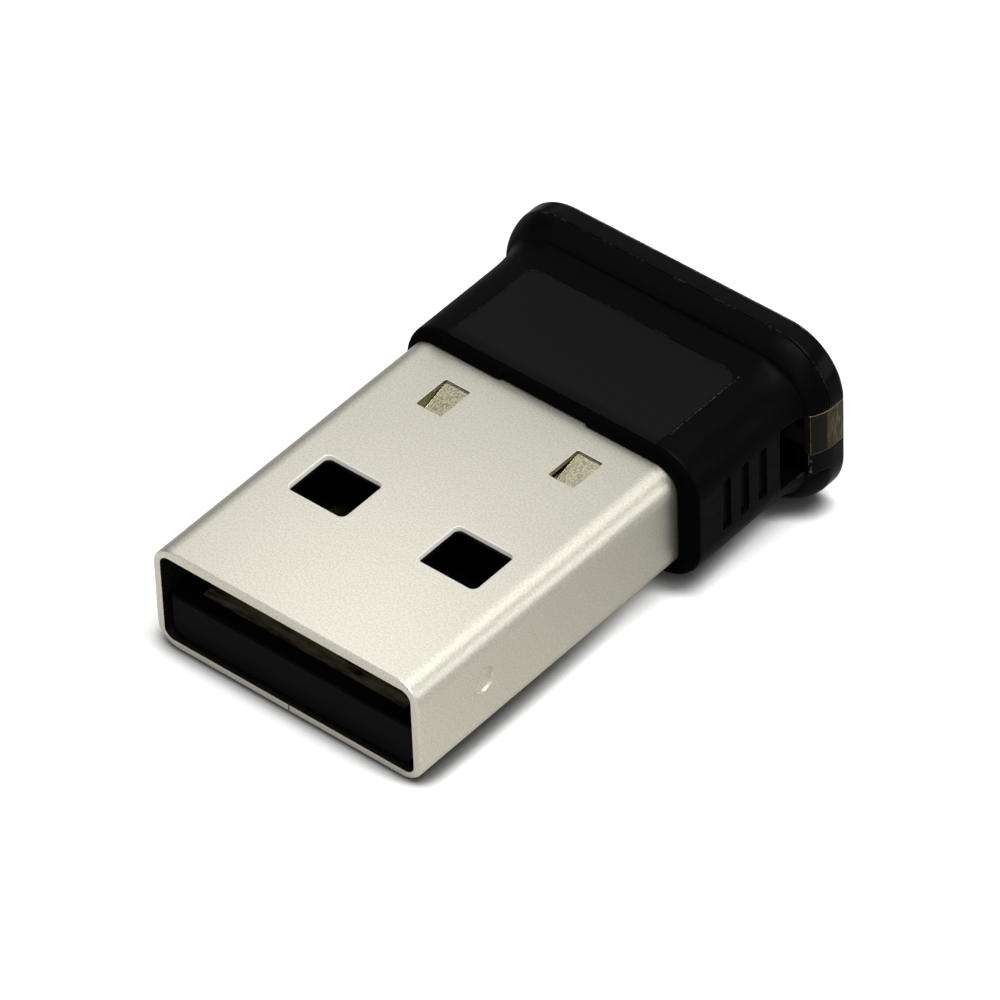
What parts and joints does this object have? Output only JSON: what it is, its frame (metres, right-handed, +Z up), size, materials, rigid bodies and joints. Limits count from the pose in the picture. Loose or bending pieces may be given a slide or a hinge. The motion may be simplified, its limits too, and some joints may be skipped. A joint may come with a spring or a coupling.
{
  "type": "usb bluetooth adapter",
  "caption": "Short USB-A radio adapter: a folded sheet plug on a black housing that flares into an end flange with a smoke cap, a side slot and a status window.",
  "frame": {"origin": "middle of the footprint, at the level of the flange's underside, which is what the adapter rests on", "axes": "+Y from the plug's mouth to the rear end cap, +Z up through the face with the sunk panel, +X towards the side with the slot and the status window"},
  "size_m": [0.0144, 0.0214, 0.0075],
  "materials": {
    "shell": "warm nickel plate, fine matte grain",
    "carrier": "black moulded plastic",
    "contact": "thin gold plate",
    "board": "dark solder mask over glass laminate",
    "package": "black moulded package",
    "ceramic": "pale ceramic with tinned ends",
    "can": "plain metal lid",
    "housing": "black, semi-gloss",
    "smoke": "dark smoke, glossy",
    "window": "khaki tinted, lets light through"
  },
  "bodies": {
    "root": {"plug_shell": "shell", "contact_carrier": "carrier", "contact_power": "contact", "contact_data_minus": "contact", "contact_data_plus": "contact", "contact_ground": "contact", "circuit_board": "board", "radio_chip": "package", "memory_chip": "package", "voltage_regulator": "package", "crystal": "can", "chip_antenna": "ceramic", "status_led": "ceramic", "band_filter": "ceramic", "power_inductor": "package", "capacitor_1": "ceramic", "capacitor_2": "ceramic", "capacitor_3": "ceramic", "capacitor_4": "ceramic", "capacitor_5": "ceramic", "resistor_1": "package", "resistor_2": "package", "resistor_3": "package", "housing": "housing", "end_cap": "smoke", "light_guide": "window"}
  },
  "joints": []
}
